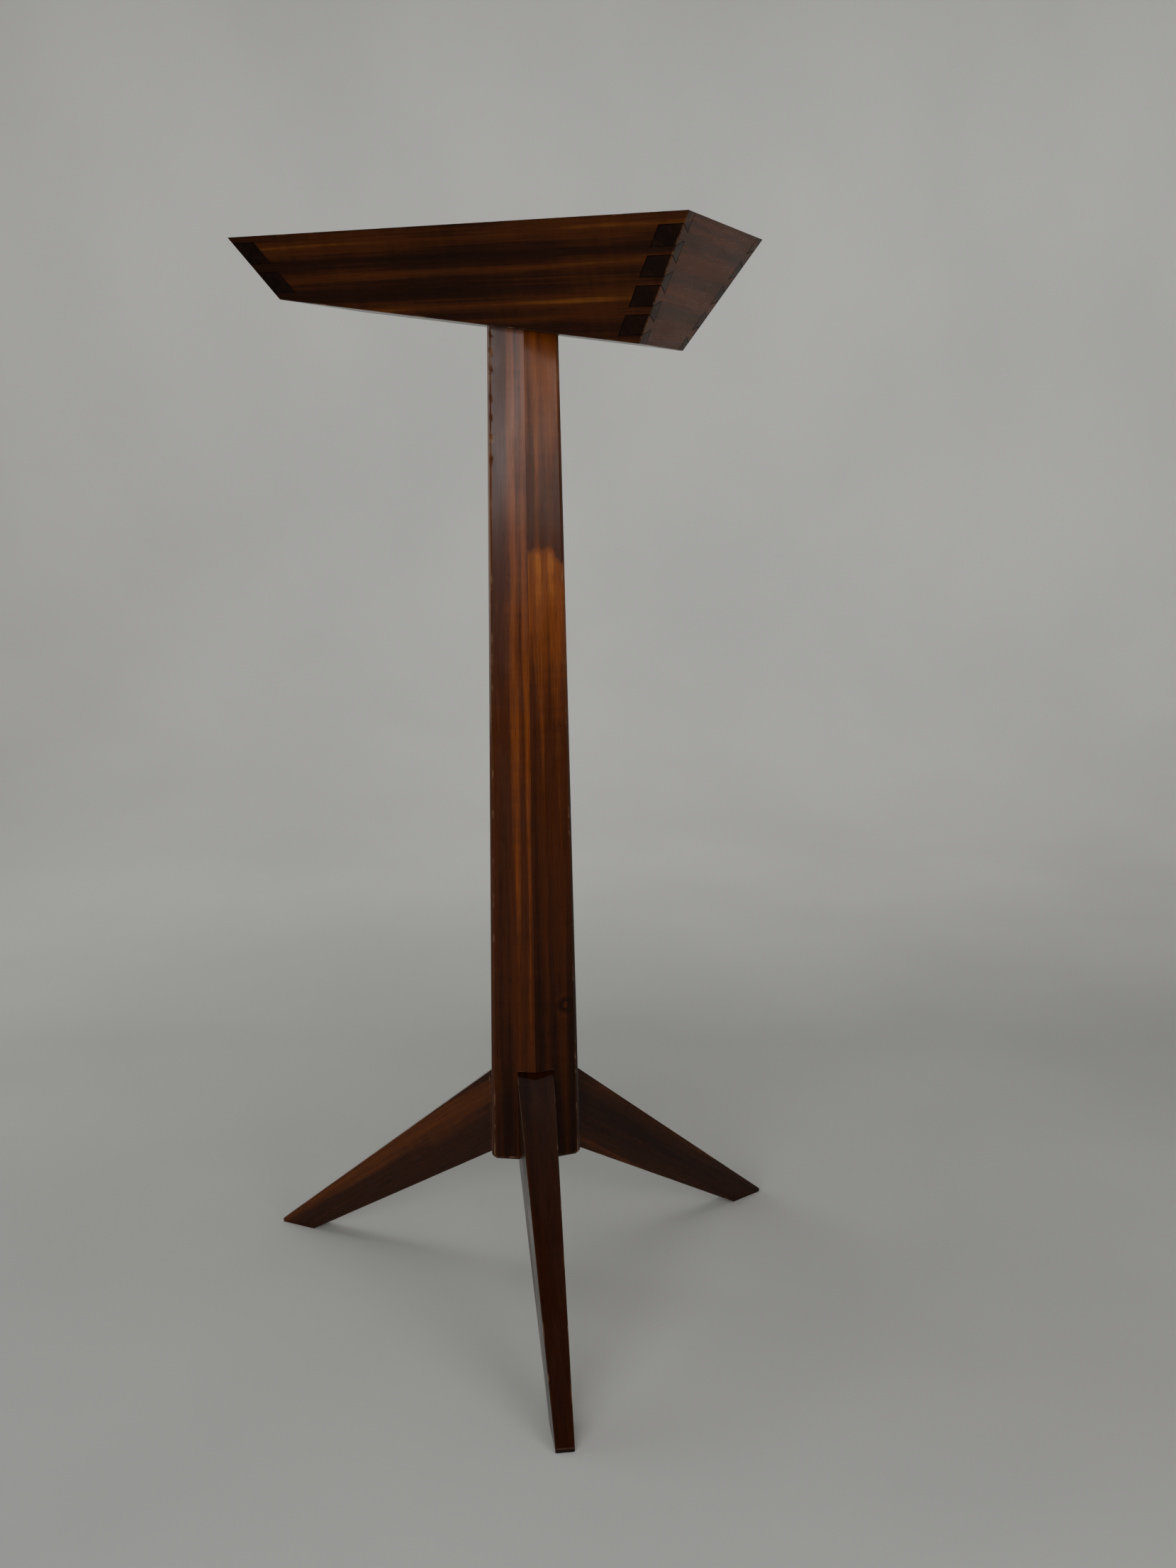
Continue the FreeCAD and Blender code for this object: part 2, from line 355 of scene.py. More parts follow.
@dataclass(frozen=True)
class MahoganyFinish:
    """Ribbon-striped mahogany, filled and clear finished to a gloss.

    Attributes:
        heart: colour of the darkest ribbons.
        body: colour of the plain wood.
        warm: colour between plain wood and ribbon.
        gold: colour of the brightest ribbons.
        pore: how far the pores darken the wood.
        end_grain: share of the light that end grain gives back, against the board's face.
        worn_and_glinting: colour where an arris has lost its finish, pale partly from real wear and partly
            to paint the glints of light on the chips.
        glue: colour of the line at a seam.
        ribbon_gain: spread of the tones about the middle.
        satin: base roughness.
        coat: strength of the clear finish.
        coat_rough: roughness of the clear finish.
        level: specular level of the wood under the finish.
        depth: share of the light that this piece's wood gives back, against plain wood; set low on the
            tray's long boards, partly to paint the shade on them.
    """

    heart: Triple = (0.0130, 0.0032, 0.0012)
    body: Triple = (0.0470, 0.0110, 0.0025)
    warm: Triple = (0.1400, 0.0350, 0.0060)
    gold: Triple = (0.3800, 0.1250, 0.0200)
    pore: float = 0.28
    end_grain: float = 0.30
    # Pale arris colour: partly real wear, partly painted glints of light on the chips.
    worn_and_glinting: Triple = (0.2200, 0.1250, 0.0700)
    glue: Triple = (0.0060, 0.0030, 0.0025)
    ribbon_gain: float = 1.0
    satin: float = 0.25
    coat: float = 0.06
    coat_rough: float = 0.10
    level: float = 0.10
    depth: float = 1.0

    TONE_STOPS = (0.0, 0.36, 0.64, 1.0)
    SEED_SHIFT = (1.0, 1.7, 2.3)
    WANDER, WANDER_GAIN = Cells((16.0, 16.0, 5.0), 2.0, 0.5), 4.0
    DRIFT, DRIFT_REACH = Cells((26.0, 26.0, 12.0), 3.0, 0.5), 0.05
    STREAK, STREAK_GAIN = Cells((240.0, 150.0, 3.2), 4.0, 0.58), 2.0
    FLAME, FLAME_SHARE = Cells((60.0, 60.0, 7.0), 3.0, 0.6), 0.45
    RIPPLE, RIPPLE_SHARE = Cells((14.0, 14.0, 130.0), 2.0, 0.5), 0.22
    KNOT_HEIGHT = 0.7
    KNOT_RINGS = ((0.0, 0.50), (0.35, 0.56), (0.75, 0.20), (1.15, 0.42), (1.70, 0.56), (2.40, 0.50))
    FIBRES, FIBRE_TONE = Cells((800.0, 800.0, 20.0), 3.0, 0.6), Ease(0.35, 0.70, 0.86, 1.15)
    PORES, PORE_EDGE = Cells((1100.0, 1100.0, 55.0), 1.0, 0.4), (0.60, 0.72)
    CUT_ACROSS = Ease(0.62, 0.86)
    END_PORES, END_EDGE, END_RANGE = Cells((1900.0, 1900.0, 60.0), 2.0, 0.6), (0.35, 0.65), (0.65, 1.25)
    RUBBED, RUBBED_SHARE = Cells((70.0, 70.0, 45.0), 4.0, 0.6), Ease(0.52, 0.68, 0.06, 0.60)
    RUBBED_ROUGH = 0.22
    SEAM_FILL = 0.95
    WAVES, WAVE_BUMP = Cells((22.0, 22.0, 6.0), 2.0, 0.5), (0.35, 0.0012)
    PORE_SINK, FIBRE_RISE, CLOSE_BUMP = Ease(0.60, 0.74, 1.0, 0.0), 0.25, (0.04, 0.00008)
    POLISH, POLISH_EDGE, POLISH_RANGE = Cells((38.0, 38.0, 9.0), 3.0, 0.55), (0.30, 0.72), (-0.07, 0.09)

    def material(self, name: str, grain: Grain, figure: Figure) -> bpy.types.Material:
        """Make the finish for one board.

        Args:
            name: name of the material.
            grain: how the grain lies in the board.
            figure: the board's ribbons.

        Returns:
            The new material.
        """
        graph = Graph(name)
        place = self._grain_place(graph, grain)
        tone = self._tone(graph, place, figure)
        fibres = graph.noise(place, self.FIBRES)
        pores = graph.noise(place, self.PORES)
        colour = graph.dim(graph.ramp(tone, self._stops()), graph.ease(fibres, self.FIBRE_TONE))
        colour = graph.dim(colour, graph.ease(pores, Ease(*self.PORE_EDGE, 1.0, 1.0 - self.pore)))
        colour = self._end_grain(graph, colour, place, grain)
        colour, rubbed_and_glinting, level = self._edges(graph, colour, place)
        normal = self._relief(graph, fibres, pores, place)
        satin = Ease(*self.POLISH_EDGE, *(self.satin + part for part in self.POLISH_RANGE))
        rough = graph.ease(graph.noise(place, self.POLISH), satin)
        rough = graph.math("ADD", rough, graph.math("MULTIPLY", rubbed_and_glinting, self.RUBBED_ROUGH), clamp=True)
        return graph.surface({
            "Base Color": colour, "Roughness": rough, "Specular IOR Level": level, "Normal": normal,
            "Coat Normal": normal, "Coat Weight": self.coat, "Coat Roughness": self.coat_rough,
        })

    def _stops(self) -> ColourStops:
        """Colours of the wood from the darkest ribbon to the brightest."""
        colours = (self.heart, self.body, self.warm, self.gold)
        deep = (tuple(part * self.depth for part in colour) for colour in colours)
        return tuple(zip(self.TONE_STOPS, deep))

    def _grain_place(self, graph: Graph, grain: Grain) -> Socket:
        """Position measured across the ribbons, into the board and along the grain."""
        place = graph.vector_math("SUBTRACT", graph.position(), grain.origin).outputs["Vector"]
        axes = (grain.across, grain.along.cross(grain.across), grain.along)
        joined = graph.node("CombineXYZ")
        for slot, axis in enumerate(axes):
            graph.feed(joined, {slot: graph.vector_math("DOT_PRODUCT", place, axis).outputs["Value"]})
        return joined.outputs["Vector"]

    def _tone(self, graph: Graph, place: Socket, figure: Figure) -> Socket:
        """Tone of the wood from 0, darkest heart, to 1, brightest ribbon."""
        shift = tuple(part * figure.seed for part in self.SEED_SHIFT)
        moved = graph.vector_math("ADD", place, shift).outputs["Vector"]
        split = graph.feed(graph.node("SeparateXYZ"), {0: place})
        across, along = split.outputs["X"], split.outputs["Z"]
        wander = graph.swing(graph.noise(moved, self.WANDER), self.WANDER_GAIN * figure.waver)
        narrow = graph.math("SUBTRACT", 1.0, graph.math("MULTIPLY", along, figure.taper))
        band = graph.profile(graph.math("ADD", graph.math("DIVIDE", across, narrow), wander), figure.bands)
        drift = graph.swing(graph.noise(moved, self.DRIFT), self.DRIFT_REACH)
        lean = graph.math("ADD", along, graph.math("MULTIPLY", across, figure.slant))
        # Tone along the grain; on the column's staves it also paints shade, darker towards the foot.
        cloud_and_shade = graph.profile(graph.math("ADD", lean, drift), figure.clouds)
        tone = graph.math("ADD", band, graph.math("SUBTRACT", cloud_and_shade, 0.5))
        finer = ((self.STREAK, 1.0), (self.FLAME, self.FLAME_SHARE), (self.RIPPLE, self.RIPPLE_SHARE))
        for cells, share in finer:
            weight = self.STREAK_GAIN * share * figure.streak
            tone = graph.math("ADD", tone, graph.swing(graph.noise(moved, cells), weight))
        if figure.knot is not None:
            tone = graph.math("ADD", tone, self._knot(graph, across, along, figure.knot))
        return graph.math("ADD", graph.swing(tone, self.ribbon_gain), 0.5, clamp=True)

    def _knot(self, graph: Graph, across: Socket, along: Socket, knot: Triple) -> Socket:
        """Tone added by a small knot: a pale heart inside a dark ring.

        Args:
            graph: the material's graph.
            across: distance across the board.
            along: distance along the grain.
            knot: the knot's place across and along, and its radius.

        Returns:
            The tone added, zero away from the knot.
        """
        side, height, radius = knot
        aside = graph.math("SUBTRACT", across, side)
        above = graph.math("MULTIPLY", graph.math("SUBTRACT", along, height), self.KNOT_HEIGHT)
        squares = (graph.math("MULTIPLY", part, part) for part in (aside, above))
        reach = graph.math("SQRT", graph.math("ADD", *squares))
        ring = graph.profile(reach, tuple((share * radius, tone) for share, tone in self.KNOT_RINGS))
        return graph.math("SUBTRACT", ring, 0.5)

    def _end_grain(self, graph: Graph, colour: Socket, place: Socket, grain: Grain) -> Socket:
        """Darken the faces that cut across the grain."""
        normal = graph.node("NewGeometry").outputs["Normal"]
        facing = graph.vector_math("DOT_PRODUCT", normal, grain.along).outputs["Value"]
        cut = graph.ease(graph.math("ABSOLUTE", facing), self.CUT_ACROSS)
        shares = Ease(*self.END_EDGE, *(part * self.end_grain for part in self.END_RANGE))
        dark = graph.dim(colour, graph.ease(graph.noise(place, self.END_PORES), shares))
        return graph.blend(cut, colour, dark)

    def _edges(self, graph: Graph, colour: Socket, place: Socket) -> tuple[Socket, Socket, Socket]:
        """Rub the finish through in places along the arrises, in a pale colour that also paints glints of
        light there, and darken the seams.

        Args:
            graph: the material's graph.
            colour: the wood's colour.
            place: position across, into and along the grain.

        Returns:
            The colour, how far the finish is gone there, which also places the painted glints, and the
            specular level.
        """
        arris, seam = (
            graph.node("Attribute", attribute_name=name).outputs["Fac"] for name in ("arris", "seam")
        )
        patches = graph.ease(graph.noise(place, self.RUBBED), self.RUBBED_SHARE)
        rubbed_and_glinting = graph.math("MULTIPLY", arris, patches)
        # Pale arris colour in patches: partly real wear, partly painted glints of light.
        colour = graph.blend(rubbed_and_glinting, colour, self.worn_and_glinting)
        filled = graph.math("MULTIPLY", seam, self.SEAM_FILL)
        level = graph.math("MULTIPLY", graph.math("SUBTRACT", 1.0, filled), self.level)
        return graph.blend(filled, colour, self.glue), rubbed_and_glinting, level

    def _relief(self, graph: Graph, fibres: Socket, pores: Socket, place: Socket) -> Socket:
        """Surface relief: hand-planed waves, raised grain and pores sunk in the finish."""
        sunk = graph.ease(pores, self.PORE_SINK)
        close = graph.math("ADD", graph.math("MULTIPLY", fibres, self.FIBRE_RISE), sunk)
        waves = graph.bump(graph.noise(place, self.WAVES), *self.WAVE_BUMP)
        return graph.bump(close, *self.CLOSE_BUMP, under=waves)


@dataclass(frozen=True)
class BrassFinish:
    """Turned brass, a little tarnished, with fine lathe rings."""

    bright: Triple = (0.62, 0.42, 0.16)
    dull: Triple = (0.28, 0.17, 0.07)

    TARNISH, TARNISH_EDGE = Cells((420.0, 420.0, 420.0), 4.0, 0.6), (0.36, 0.68)
    RINGS, RING_BUMP = Cells((2600.0, 2600.0, 300.0), 2.0, 0.5), (0.25, 0.00005)
    ROUGH = Ease(0.3, 0.7, 0.24, 0.48)

    def material(self, name: str) -> bpy.types.Material:
        """Make the finish for the screws.

        Args:
            name: name of the material.

        Returns:
            The new material.
        """
        graph = Graph(name)
        place = graph.position()
        tarnish = graph.noise(place, self.TARNISH)
        return graph.surface({
            "Base Color": graph.ramp(tarnish, tuple(zip(self.TARNISH_EDGE, (self.bright, self.dull)))),
            "Roughness": graph.ease(tarnish, self.ROUGH),
            "Normal": graph.bump(graph.noise(place, self.RINGS), *self.RING_BUMP),
            "Metallic": 1.0,
        })


@dataclass(frozen=True)
class PaperFinish:
    """Matt studio paper, with a faint fibre and slow changes of tone."""

    light: Triple = (0.60, 0.60, 0.58)
    shade: Triple = (0.54, 0.54, 0.525)

    CLOUDS, CLOUD_EDGE = Cells((1.6, 1.6, 1.2), 3.0, 0.5), (0.30, 0.70)
    FIBRES, FIBRE_BUMP = Cells((900.0, 900.0, 900.0), 2.0, 0.6), (0.12, 0.0002)
    ROUGH = Ease(0.3, 0.7, 0.82, 0.95)
    LEVEL = 0.2

    def material(self, name: str) -> bpy.types.Material:
        """Make the finish for the floor and backdrop.

        Args:
            name: name of the material.

        Returns:
            The new material.
        """
        graph = Graph(name)
        place = graph.position()
        clouds, fibres = graph.noise(place, self.CLOUDS), graph.noise(place, self.FIBRES)
        return graph.surface({
            "Base Color": graph.ramp(clouds, tuple(zip(self.CLOUD_EDGE, (self.shade, self.light)))),
            "Roughness": graph.ease(fibres, self.ROUGH),
            "Normal": graph.bump(fibres, *self.FIBRE_BUMP),
            "Specular IOR Level": self.LEVEL,
        })


def direction(azimuth: float, elevation: float = 0.0) -> Vector:
    """Unit vector at an azimuth from +X and an elevation above the level, both in degrees."""
    turn, rise = math.radians(azimuth), math.radians(elevation)
    return Vector((math.cos(turn) * math.cos(rise), math.sin(turn) * math.cos(rise), math.sin(rise)))


def new_piece(name: str, shape: bmesh.types.BMesh) -> bpy.types.Object:
    """Put a finished mesh into the scene.

    Args:
        name: name of the piece.
        shape: its mesh, freed afterwards.

    Returns:
        The new object, in the row frame.
    """
    mesh = bpy.data.meshes.new(name)
    shape.to_mesh(mesh)
    shape.free()
    piece = bpy.data.objects.new(name, mesh)
    bpy.context.scene.collection.objects.link(piece)
    return piece


def ring(
    shape: bmesh.types.BMesh, radius: float, height: float, count: int, place: Matrix = Matrix(),
) -> list[bmesh.types.BMVert]:
    """Add points round a circle.

    Args:
        shape: mesh that the points are added to.
        radius: radius of the circle.
        height: its height above the place.
        count: number of points.
        place: where the circle's centre line stands.

    Returns:
        The points in order.
    """
    turns = (math.tau * step / count for step in range(count))
    spots = (Vector((radius * math.cos(turn), radius * math.sin(turn), height)) for turn in turns)
    return [shape.verts.new(place @ spot) for spot in spots]


class Neighbours:
    """Knows where every board's solid lies, to tell glued faces from open ones."""

    PROBE = Vector((0.531, 0.287, 0.797))

    def __init__(self, nodes: dict[str, bpy.types.Object]) -> None:
        """Index the solids of all nodes.

        Args:
            nodes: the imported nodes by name.
        """
        self.trees = {name: self._tree(node) for name, node in nodes.items()}

    def _tree(self, node: bpy.types.Object) -> BVHTree:
        """Search tree over one node's faces."""
        shape = bmesh.new()
        shape.from_mesh(node.data)
        tree = BVHTree.FromBMesh(shape)
        shape.free()
        return tree

    def _inside(self, tree: BVHTree, point: Vector) -> bool:
        """True if a point lies inside a closed solid, by counting the faces a line leaves through."""
        start, crossings = point.copy(), 0
        step = self.PROBE * NOTHING
        while True:
            hit = tree.ray_cast(start, self.PROBE)[0]
            if hit is None:
                return crossings % 2 == 1
            crossings += 1
            start = hit + step

    def covers(self, point: Vector, own: str) -> bool:
        """True if a point lies inside any board but the named one."""
        return any(self._inside(tree, point) for name, tree in self.trees.items() if name != own)


@dataclass
class Board:
    """One piece of wood, taken from its node and finished at its edges.

    Attributes:
        node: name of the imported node.
        seam_gap: width of the fine groove at each side of a seam, in metres.
        easing: rounding of the open corners, in metres.
    """

    node: str
    seam_gap: float
    easing: float = 0.0009

    PROBE_SHARES = (0.12, 0.31, 0.5, 0.69, 0.88)
    CORNER_PROBE = 0.0004
    FACE_PROBE = 0.0001
    ROUNDING_STEPS = 3
    ROUNDED = 1
    FLAT_ANGLE = math.radians(0.4)
    SHARP_ANGLE = math.radians(35.0)
    LEVEL_WEIGHT = 100

    def make(self, neighbours: Neighbours) -> bpy.types.Object:
        """Build the finished piece.

        Args:
            neighbours: the solids of all boards.

        Returns:
            The new object, in the row frame.
        """
        shape = bmesh.new()
        shape.from_mesh(frame["nodes"][self.node].data)
        bmesh.ops.remove_doubles(shape, verts=shape.verts, dist=NOTHING)
        bmesh.ops.dissolve_limit(
            shape, angle_limit=self.FLAT_ANGLE, verts=shape.verts, edges=shape.edges, delimit=set()
        )
        bmesh.ops.recalc_face_normals(shape, faces=shape.faces)
        lines = self._weigh(shape, neighbours)
        piece = new_piece(self.node + "_board", shape)
        self._round(piece)
        self._mark(piece, lines)
        return piece

    def _kind(self, edge: bmesh.types.BMEdge, neighbours: Neighbours) -> EdgeKind:
        """Tell what an edge does, by looking just above the faces beside it."""
        if len(edge.link_faces) != 2 or not edge.is_convex:
            return EdgeKind.HIDDEN
        start, end = (vert.co for vert in edge.verts)
        votes = {kind: 0 for kind in EdgeKind}
        for share in self.PROBE_SHARES:
            point = start.lerp(end, share)
            probes = [self._above(edge, face, point) for face in edge.link_faces]
            glued = sum(neighbours.covers(probe, self.node) for probe in probes)
            votes[(EdgeKind.ARRIS, EdgeKind.SEAM, EdgeKind.HIDDEN)[glued]] += 1
        return max(votes, key=votes.get)

    def _above(self, edge: bmesh.types.BMEdge, face: bmesh.types.BMFace, point: Vector) -> Vector:
        """Spot just above a face, a little way in from a point on its edge."""
        inward = face.normal.cross((edge.verts[1].co - edge.verts[0].co).normalized())
        loop = next(item for item in face.loops if item.edge == edge)
        if loop.vert != edge.verts[0]:
            inward.negate()
        return point + inward * self.CORNER_PROBE + face.normal * self.FACE_PROBE

    def _weigh(self, shape: bmesh.types.BMesh, neighbours: Neighbours) -> list[EdgeLine]:
        """Set how far each edge is rounded.

        Args:
            shape: the board.
            neighbours: the solids of all boards.

        Returns:
            The open and flush edges, each with its two ends.
        """
        kinds = [self._kind(edge, neighbours) for edge in shape.edges]
        weights = shape.edges.layers.float.new("bevel_weight_edge")
        shares = {EdgeKind.ARRIS: 1.0, EdgeKind.SEAM: self.seam_gap / self.easing, EdgeKind.HIDDEN: 0.0}
        lines = []
        for edge, kind in zip(shape.edges, kinds):
            edge[weights] = shares[kind]
            if kind is not EdgeKind.HIDDEN:
                lines.append((kind, edge.verts[0].co.copy(), edge.verts[1].co.copy()))
        return lines

    def _round(self, piece: bpy.types.Object) -> None:
        """Round the weighted edges and keep the result as the piece's own mesh."""
        rounding = piece.modifiers.new("rounding", "BEVEL")
        rounding.limit_method = "WEIGHT"
        rounding.width = self.easing
        rounding.segments = self.ROUNDING_STEPS
        rounding.material = self.ROUNDED
        rounding.use_clamp_overlap = True
        for name in ("flat", "rounded"):
            piece.data.materials.append(bpy.data.materials.get(name) or bpy.data.materials.new(name))
        view = bpy.context.evaluated_depsgraph_get()
        rounded = bpy.data.meshes.new_from_object(piece.evaluated_get(view))
        piece.modifiers.clear()
        piece.data = rounded
        piece.data.name = self.node + "_board"

    def _mark(self, piece: bpy.types.Object, lines: list[EdgeLine]) -> None:
        """Note on each face whether it is part of an arris or of a seam."""
        mesh = piece.data
        marks = {kind: [0.0] * len(mesh.polygons) for kind in (EdgeKind.ARRIS, EdgeKind.SEAM)}
        for face in mesh.polygons:
            if face.material_index == self.ROUNDED:
                marks[self._nearest(face.center, lines)][face.index] = 1.0
            face.material_index = 0
        for kind, name in ((EdgeKind.ARRIS, "arris"), (EdgeKind.SEAM, "seam")):
            mesh.attributes.new(name, "FLOAT", "FACE").data.foreach_set("value", marks[kind])
        mesh.materials.clear()

    def _nearest(self, point: Vector, lines: list[EdgeLine]) -> EdgeKind:
        """Kind of the edge that lies nearest to a point."""
        def gap(line: EdgeLine) -> float:
            """Distance from the point to one edge."""
            start, run = line[1], line[2] - line[1]
            share = max(0.0, min(1.0, (point - start).dot(run) / run.length_squared))
            return (point - start - run * share).length
        return min(lines, key=gap)[0]

    def dress(self, piece: bpy.types.Object, finish: MahoganyFinish, grain: Grain, figure: Figure) -> None:
        """Give the piece its wood, its shading and its place in the stand.

        Args:
            piece: the finished board.
            finish: the wood's finish.
            grain: how the grain lies in it.
            figure: its ribbons.
        """
        piece.data.materials.append(finish.material(f"{WOOD_SLOT}_{self.node}", grain, figure))
        piece.data.shade_smooth()
        piece.data.set_sharp_from_angle(angle=self.SHARP_ANGLE)
        level = piece.modifiers.new("flat faces", "WEIGHTED_NORMAL")
        level.keep_sharp = True
        level.weight = self.LEVEL_WEIGHT
        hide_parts(self.node)
        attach(piece, ROOT_BODY)
        log.info("%s: %d faces", piece.name, len(piece.data.polygons))


@dataclass
class Tray:
    """The open tray: two long boards, two end boards and a floor, dovetailed at the corners.

    Attributes:
        side_splay: lean of the long boards, in degrees.
        deep_splay: lean of the deep end board, in degrees.
        shallow_splay: lean of the shallow end board, in degrees.
        seam_gap: width of the groove at each side of the dovetails, in metres.
        finish: finish of the shallow end board and the floor.
        side_finish_shaded: finish of the long boards, darkened partly to paint the shade on their outer
            faces, which lean down away from the light.
        deep_finish: finish of the deep end board, kept brighter than the other boards.
    """

    side_splay: float = 24.3
    deep_splay: float = 31.7
    shallow_splay: float = 35.0
    seam_gap: float = 0.00034
    # Low depths darken the long boards partly to paint the shade on their outer faces, which lean down away
    # from the light; the shallow end and floor share that darkness.
    finish: MahoganyFinish = MahoganyFinish(depth=0.36, ribbon_gain=0.86)
    side_finish_shaded: MahoganyFinish = MahoganyFinish(depth=0.36, ribbon_gain=0.86, end_grain=0.85)
    deep_finish: MahoganyFinish = MahoganyFinish(depth=0.80, end_grain=0.15)

    SIDE_BANDS: Stops = (
        (0.000, 0.42), (0.005, 0.52), (0.0095, 0.76), (0.0150, 0.52), (0.021, 0.34), (0.028, 0.28),
        (0.033, 0.40), (0.038, 0.60), (0.044, 0.36), (0.050, 0.24), (0.056, 0.26), (0.062, 0.46),
        (0.067, 0.70), (0.073, 0.46), (0.079, 0.52), (0.085, 0.36), (0.092, 0.32), (0.105, 0.40),
    )
    SIDE_CLOUDS: Stops = (
        (-0.25, 0.40), (-0.15, 0.52), (-0.05, 0.56), (0.03, 0.44), (0.10, 0.56), (0.16, 0.66), (0.25, 0.55),
    )
    END_BANDS: Stops = (
        (0.000, 0.46), (0.012, 0.50), (0.024, 0.41), (0.036, 0.51), (0.050, 0.43),
        (0.064, 0.53), (0.078, 0.44), (0.095, 0.50), (0.110, 0.46),
    )
    END_CLOUDS: Stops = ((-0.1, 0.5), (0.0, 0.54), (0.1, 0.5))
    FLOOR_BANDS: Stops = (
        (0.0, 0.35), (0.04, 0.5), (0.07, 0.3), (0.10, 0.45), (0.13, 0.6), (0.16, 0.35), (0.2, 0.45),
    )
    FLOOR_EDGE = -0.1
    FIGURES = {
        "tray_front_panel": Figure(SIDE_BANDS, SIDE_CLOUDS, 0.0018, 0.40, 3.1, taper=0.30),
        "tray_back_panel": Figure(SIDE_BANDS, SIDE_CLOUDS, 0.0030, 0.50, 11.9),
        "tray_deep_end": Figure(END_BANDS, END_CLOUDS, 0.0030, 0.16, 5.3),
        "tray_shallow_end": Figure(END_BANDS, END_CLOUDS, 0.0030, 0.40, 8.2),
        "tray_floor": Figure(FLOOR_BANDS, SIDE_CLOUDS, 0.004, 0.5, 14.4),
    }

    def build(self, neighbours: Neighbours) -> list[bpy.types.Object]:
        """Build and dress the five boards.

        Args:
            neighbours: the solids of all boards.

        Returns:
            The boards.
        """
        finishes = {
            "tray_front_panel": self.side_finish_shaded,
            "tray_back_panel": self.side_finish_shaded,
            "tray_deep_end": self.deep_finish,
        }
        pieces = []
        for node, grain in self._grains().items():
            board = Board(node, self.seam_gap)
            piece = board.make(neighbours)
            board.dress(piece, finishes.get(node, self.finish), grain, self.FIGURES[node])
            pieces.append(piece)
        return pieces

    def _slope(self, azimuth: float, splay: float) -> Vector:
        """Direction down the outside of a board that leans outwards at the top."""
        return -direction(azimuth, 90.0 - splay)

    def _grains(self) -> dict[str, Grain]:
        """How the grain lies in each board."""
        front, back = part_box("tray_front_panel")[0].y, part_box("tray_back_panel")[1].y
        shallow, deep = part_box("tray_shallow_end")[0].x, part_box("tray_deep_end")[1].x
        rim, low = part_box("tray_deep_end")[1].z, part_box("tray_floor")[0].z
        boards = {
            "tray_front_panel": ((0.0, front, rim), ALONG_X, self._slope(-90.0, self.side_splay)),
            "tray_back_panel": ((0.0, back, rim), ALONG_X, self._slope(90.0, self.side_splay)),
            "tray_deep_end": ((deep, 0.0, rim), ALONG_Y, self._slope(0.0, self.deep_splay)),
            "tray_shallow_end": ((shallow, 0.0, rim), ALONG_Y, self._slope(180.0, self.shallow_splay)),
            "tray_floor": ((0.0, self.FLOOR_EDGE, low), ALONG_X, ALONG_Y),
        }
        return {node: Grain(Vector(origin), *axes) for node, (origin, *axes) in boards.items()}


def column_foot() -> Vector:
    """Foot of the column's centre line: the deep stave's inner corner lies on it."""
    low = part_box("column_stave_deep")[0]
    return Vector((low.x, 0.0, low.z))


